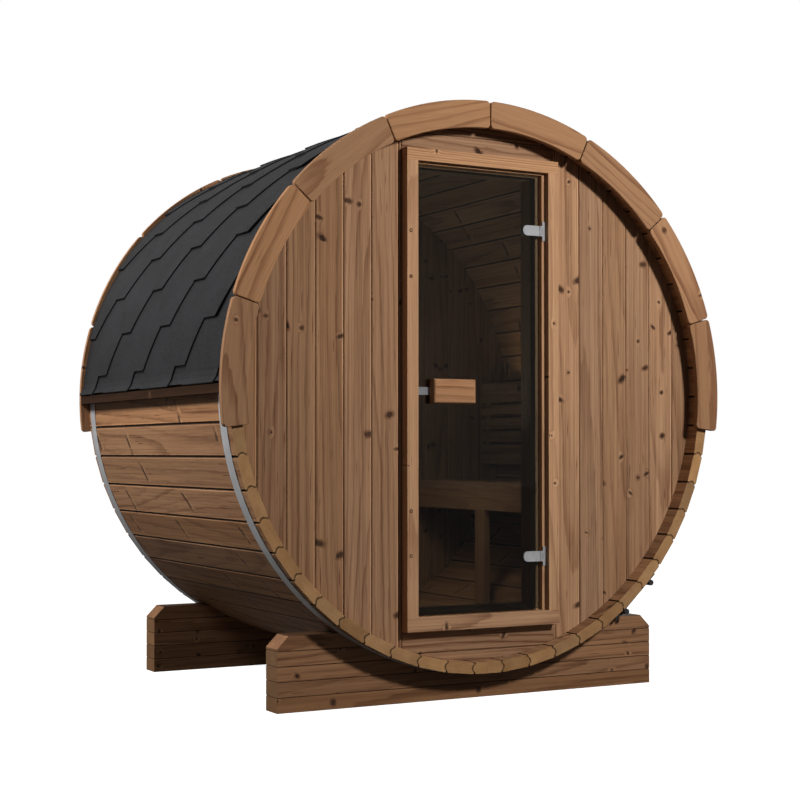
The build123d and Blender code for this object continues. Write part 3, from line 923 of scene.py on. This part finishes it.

# %% [markdown]
# ## Plugs in the casing
# Wooden plugs hide the screws that hold the left-hand casing. Each one sits in a drilled hole, and the shade
# in its rim is painted as a dark ring. A short peg with a worn edge is modelled for the plug and a wider,
# dark one for the painted shade of the ring, and both are copied to each screw.

# %% Model the plugs
casing_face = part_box("door_jamb_left")[0].y
screw_side = -0.310
screw_heights = (0.570, 0.406, -0.428, -0.587)
casing_grain = boards(2, 0, 0.05, -0.335)
plug_wood = timber("plug_wood", casing_grain, light=(0.420, 0.235, 0.125, 1), seed=81.0, knots=0.0)
# painted shade: the dark wood of the wider peg stands for the shadow in the rim of the hole
plug_rim_shade = timber("plug_rim_shade", casing_grain, light=(0.100, 0.050, 0.026, 1), dark=(0.050, 0.024, 0.012, 1),
                  seed=83.0, knots=0.0)
for name, radius, proud, wood in (("casing_plugs", 0.0042, 0.0012, plug_wood),
                                  ("casing_plug_shade_rims", 0.0070, 0.0006, plug_rim_shade)):
    peg = cylinder("peg", 20, radius, casing_face - proud, casing_face + 0.002, (screw_side, axis_height))
    pick(peg, "EDGE", lambda edge: all(point.co.y < casing_face for point in edge.verts))
    bpy.ops.mesh.bevel(offset=0.0004, segments=1, affect="EDGES")
    leave()
    pegs = [copy_of(peg, (0, 0, rise)) for rise in screw_heights]
    bpy.data.objects.remove(peg)
    dress(join(name, pegs), wood, "frame_wood")
    print(name + ":", len(pegs))

# %% [markdown]
# ## Six-sided shingles
# Each course of roofing felt is a band with wide tabs: flat at the foot, with slanted sides. Courses overlap
# by half a step, so the visible pattern is a honeycomb. One tile of the pattern is a line that is spun about
# the barrel's axis, with its outer columns taken off below the notch and its rows drawn in to make the
# slants. It is copied along the barrel, turned to its course and cut off at the ends. Solidify gives it its
# thickness.

# %% Sizes of the shingle pattern
tile_width = 0.420
tab_flat = 0.108
course = 0.160
course_places = (-0.130, 0.080)
notch_rows = 5
tile_rows = 11
felt_radius = 1.0481
felt_thickness = 0.0048
felt_lean = 0.033
lowest_course = 1.713
course_count = 11
merge_distance = 0.0005
eave_rise = 0.058
roof_radius = 1.044
roof_low, roof_high = (corner.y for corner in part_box("roof_shingles_left"))


def arc_angle(arc):
    """Angle for a distance along the roof, in degrees."""
    return math.degrees(arc / roof_radius)


row_turn = arc_angle(course / notch_rows)
print("one course covers", round(arc_angle(course), 2), "degrees")

# %% Spin the tile, with its foot at the top of the barrel and the rest to the left
deselect_all()
bpy.ops.mesh.primitive_grid_add(x_subdivisions=1, y_subdivisions=5, size=1)
tile = named("shingle_tile")
pick(tile, "VERT", lambda point: point.co.x > 0)
bpy.ops.mesh.delete(type="VERT")
leave()
half = tile_width / 2
outer = half - tab_flat / 2
columns = (-half, -outer, -tab_flat / 2, tab_flat / 2, outer, half)
for point, place in zip(sorted(tile.data.vertices, key=lambda v: v.co.y), columns):
    point.co = (0, place, axis_height + felt_radius)
pick(tile, "VERT")
bpy.ops.mesh.spin(steps=tile_rows, angle=math.radians(row_turn * tile_rows), axis=(0, 1, 0),
                  center=(felt_lean, 0, axis_height))
leave()


def row_of(point):
    """Row number of a point, counted up from the foot."""
    turn = math.degrees(math.atan2(point.co.x - felt_lean, point.co.z - axis_height))
    foot_turn = math.degrees(math.atan2(-felt_lean, felt_radius))
    return round((foot_turn - turn) / row_turn)


print("tile rows:", len({row_of(v) for v in tile.data.vertices}) - 1)

# %% Cut the notches and slant the sides of the tab
pick(tile, "FACE", lambda face: abs(face.calc_center_median().y) > outer and
     max(map(row_of, face.verts)) <= notch_rows)
bpy.ops.mesh.delete(type="FACE")
leave()
for row in range(notch_rows):
    reach = tab_flat / 2 + (outer - tab_flat / 2) * row / notch_rows
    pick(tile, "VERT", lambda point: row_of(point) == row and abs(abs(point.co.y) - outer) < 0.001)
    bpy.ops.transform.resize(value=(1, reach / outer, 1), center_override=(0, 0, 0))
    leave()
pick(tile, "VERT")
bpy.ops.mesh.remove_doubles(threshold=merge_distance)
leave()
print("tab cut:", len(tile.data.polygons), "faces")


# %% Lay the courses
def lay_course(distance, centre):
    """One course on the right-hand side, with its tabs' feet at a distance from the top."""
    place = centre - tile_width * math.ceil((centre - tile_width - roof_low) / tile_width)
    pieces = []
    while place - tile_width / 2 < roof_high:
        pieces.append(copy_of(tile, (0, place, 0)))
        place += tile_width
    band = join("course", pieces)
    band.data.transform(turned(arc_angle(distance)))
    pick(band, "VERT")
    bpy.ops.mesh.remove_doubles(threshold=merge_distance)
    for where, facing in (((0, roof_low, 0), (0, -1, 0)), ((0, roof_high, 0), (0, 1, 0)),
                          ((0.0005, 0, 0), (-1, 0, 0)), ((0, 0, axis_height + eave_rise), (0, 0, -1))):
        bpy.ops.mesh.select_all(action="SELECT")
        bpy.ops.mesh.bisect(plane_co=where, plane_no=facing, clear_outer=True)
    leave()
    return band


def flare_eave(band):
    """Draw the cut lower edge outwards and down over the batten."""
    low = min(v.co.z for v in band.data.vertices)
    pick(band, "EDGE", lambda edge: all(abs(v.co.z - low) < merge_distance for v in edge.verts))
    for out, down in ((0.0060, 0.021), (0.0135, 0.021)):
        bpy.ops.mesh.extrude_edges_move(TRANSFORM_OT_translate={"value": (out, 0, -down)})
    leave()


def thicken(band):
    """Give a spun skin its thickness on the inner side, with its normals outwards."""
    pick(band, "FACE")
    bpy.ops.mesh.normals_make_consistent(inside=False)
    leave()
    face = max(band.data.polygons, key=lambda f: f.area)
    if face.normal.dot(Vector((face.center.x, 0, face.center.z - axis_height))) < 0:
        pick(band, "FACE")
        bpy.ops.mesh.flip_normals()
        leave()
    finish_with(band, "SOLIDIFY", thickness=felt_thickness, offset=-1, use_even_offset=True)


for side in ("right", "left"):
    bands = []
    for k in range(course_count):
        band = lay_course(lowest_course - course * k, course_places[k % 2])
        if k == 0:
            flare_eave(band)
        thicken(band)
        if side == "left":
            band.data.transform(Matrix.Scale(-1, 4, (1, 0, 0)))
            band.data.flip_normals()
        bands.append(band)
    shingles = join(f"shingle_courses_{side}", bands)
    dress(shingles, felt, "shingles", f"roof_shingles_{side}")
    print(side, "shingles:", len(bands), "courses,", len(shingles.data.polygons), "faces")
bpy.data.objects.remove(tile)

# %% [markdown]
# ## The underlay and the ridge
# Below the shingles lies a starter band on its underlay, which is what the notches show at the eave. It is
# one profile, spun over the barrel, with both its edges drawn down over the battens. The ridge has short
# caps that overlap along the barrel like fish scales.


# %% Underlay
def spun_band(name, inner, outer, low, high, half_turn, steps):
    """Plate bent over the top of the barrel, as far to the left as to the right."""
    deselect_all()
    middle = (0, (low + high) / 2, axis_height + (inner + outer) / 2)
    bpy.ops.mesh.primitive_plane_add(size=1, location=middle, rotation=(0, math.pi / 2, 0))
    bpy.context.object.scale = (outer - inner, high - low, 1)
    piece = named(name)
    piece.data.transform(turned(-half_turn))
    pick(piece, "FACE")
    bpy.ops.mesh.spin(steps=steps, angle=-math.radians(2 * half_turn), axis=(0, 1, 0),
                      center=(0, 0, axis_height))
    bpy.ops.mesh.select_all(action="SELECT")
    bpy.ops.mesh.remove_doubles(threshold=0.0001)
    bpy.ops.mesh.normals_make_consistent(inside=False)
    leave()
    return piece


underlay_inner = 1.0223
underlay_outer = 1.0378
eave_turn = math.degrees(math.acos(eave_rise / underlay_outer))
underlay = spun_band("roof_underlay", underlay_inner, underlay_outer, roof_low + 0.001, roof_high - 0.001,
                     eave_turn, 96)
for sign in (-1, 1):
    pick(underlay, "FACE", lambda face: face.normal.z < -0.9 and face.calc_center_median().x * sign > 0 and
         face.calc_center_median().z < axis_height + 0.08)
    for out, down in ((0.0060, 0.021), (0.0125, 0.018)):
        bpy.ops.mesh.extrude_region_move(TRANSFORM_OT_translate={"value": (sign * out, 0, -down)})
    leave()
dress(underlay, felt, "shingles")
print("underlay:", [round(v, 3) for v in underlay.dimensions])

# %% Ridge caps
cap_length = 0.230
cap_pitch = 0.160
cap_thickness = 0.0045
cap = spun_band("ridge_cap", roof_radius, roof_radius + cap_thickness, 0, cap_length, arc_angle(0.092), 6)
pick(cap, "VERT", lambda point: point.co.y < cap_length / 2)
bpy.ops.transform.translate(value=(0, 0, cap_thickness))
leave()
cap_count = math.ceil((roof_high - 0.05 - roof_low) / cap_pitch)
caps = [copy_of(cap, (0, roof_low + cap_pitch * k, 0)) for k in range(cap_count)]
bpy.data.objects.remove(cap)
ridge = join("ridge_caps", caps)
pick(ridge, "VERT")
bpy.ops.mesh.bisect(plane_co=(0, roof_high, 0), plane_no=(0, 1, 0), clear_outer=True, use_fill=True)
leave()
dress(ridge, felt, "shingles")
print("ridge caps:", len(caps))

# %% [markdown]
# ## Floor and surround
# The floor is pale to the camera but returns little light, so the barrel's underside stays dark. The Light
# Path node tells a ray from the camera from one that bounced off the barrel. The surround works in the same
# way: it is white to the camera, grey in reflections, and lights the shadows only a little.

# %% Floor
deselect_all()
bpy.ops.mesh.primitive_plane_add(size=60, location=(0, 0, 0))
floor = named("floor")
floor_material, shader, place = new_material("floor_pale")
mottle = noise(place, 1.3, 3.0)
path = node(place.tree, "ShaderNodeLightPath")
seen = path["Is Camera Ray"]
pale = blend(mottle, (0.46, 0.46, 0.46, 1), (0.50, 0.50, 0.49, 1))
fill(shader, Base_Color=blend(seen, (0.045, 0.042, 0.039, 1), pale),
     Roughness=mottle.ramp(0.2, 0.8, 0.85, 0.95),
     Emission_Color=blend(mottle, (0.99, 0.99, 0.99, 1), (1, 1, 1, 1)),
     Emission_Strength=(seen * 0.88).math("MAXIMUM", path["Is Glossy Ray"] * 0.15))
paint(floor, floor_material)
print("floor is", floor.dimensions.x, "m wide")

# %% Surround
world = bpy.data.worlds.new("studio")
bpy.context.scene.world = world
world.use_nodes = True
path = node(world.node_tree, "ShaderNodeLightPath")
strength = path["Is Camera Ray"].math("MAXIMUM", path["Is Glossy Ray"] * 0.30).math("MAXIMUM", 0.085)
fill(world.node_tree.nodes["Background"], Color=(1.0, 1.0, 1.0, 1), Strength=strength)
print("surround:", world.name)

# %% [markdown]
# ## Lamps
# The picture is lit as in a photo studio. A small bright lamp stands high in front and to the right: it gives
# the crisp shadow under the trim and the fall of light to the left and down. A second one far to the left, a
# little behind the door's face, lights the staves and leaves the front alone. Two weak, broad lamps behind
# give the roof and the right-hand side their sheen. Four faint lamps light the room: its ceiling, the wall
# behind the backrest, the floor and the bench. No lamp is seen itself.


# %% Lamps
def new_lamp(name, kind, energy):
    data = bpy.data.lights.new(name, kind)
    data.energy = energy
    lamp = bpy.data.objects.new(name, data)
    bpy.context.scene.collection.objects.link(lamp)
    return lamp


def sun(name, towards, strength, spread):
    """Broad lamp at a great distance, in the direction given."""
    lamp = new_lamp(name, "SUN", strength)
    lamp.data.angle = math.radians(spread)
    lamp.rotation_euler = Vector(towards).to_track_quat("Z", "Y").to_euler()


def area_lamp(name, place, towards, size, energy, colour=(1, 1, 1), spread=180):
    """Flat lamp at a place, turned towards a point, that the camera and mirrors don't see."""
    lamp = new_lamp(name, "AREA", energy)
    lamp.data.shape = "RECTANGLE"
    lamp.data.size, lamp.data.size_y = size
    lamp.data.color = colour
    lamp.data.spread = math.radians(spread)
    lamp.location = place
    lamp.rotation_euler = (Vector(place) - Vector(towards)).to_track_quat("Z", "Y").to_euler()
    for ray in ("visible_camera", "visible_transmission", "visible_glossy"):
        setattr(lamp, ray, False)


area_lamp("key", (1.17, -4.2, 2.9), (0.1, -0.7, 1.1), (0.42, 0.42), 166)
area_lamp("left", (-3.4, 0.3, 3.30), (-0.9, 0.0, 1.1), (0.8, 0.8), 172)
sun("back_left", (-0.50, 0.80, 0.70), 0.15, 30)
sun("back_right", (0.75, 0.45, 0.48), 1.2, 30)
area_lamp("room_light", (0, 0, axis_height - 0.15), (0, 0, axis_height + 1), (0.5, 1.0), 4.2,
          (0.74, 0.88, 1.0))
area_lamp("backrest_glow", (0.872, 0.12, axis_height + 0.105), (0.93, 0.12, axis_height + 0.3), (0.8, 0.015),
          0.55, (1.0, 0.80, 0.55), 110)
area_lamp("floor_light", (-0.05, -0.35, 1.25), (0.05, 0.25, 0.25), (0.40, 0.30), 2.6, (0.95, 0.82, 0.71), 90)
area_lamp("bench_light", (-0.15, -0.25, 1.2), (0.6, 0.5, 0.95), (0.4, 0.4), 1.1, (0.90, 0.88, 0.85), 130)
print("lamps:", len(bpy.data.lights))
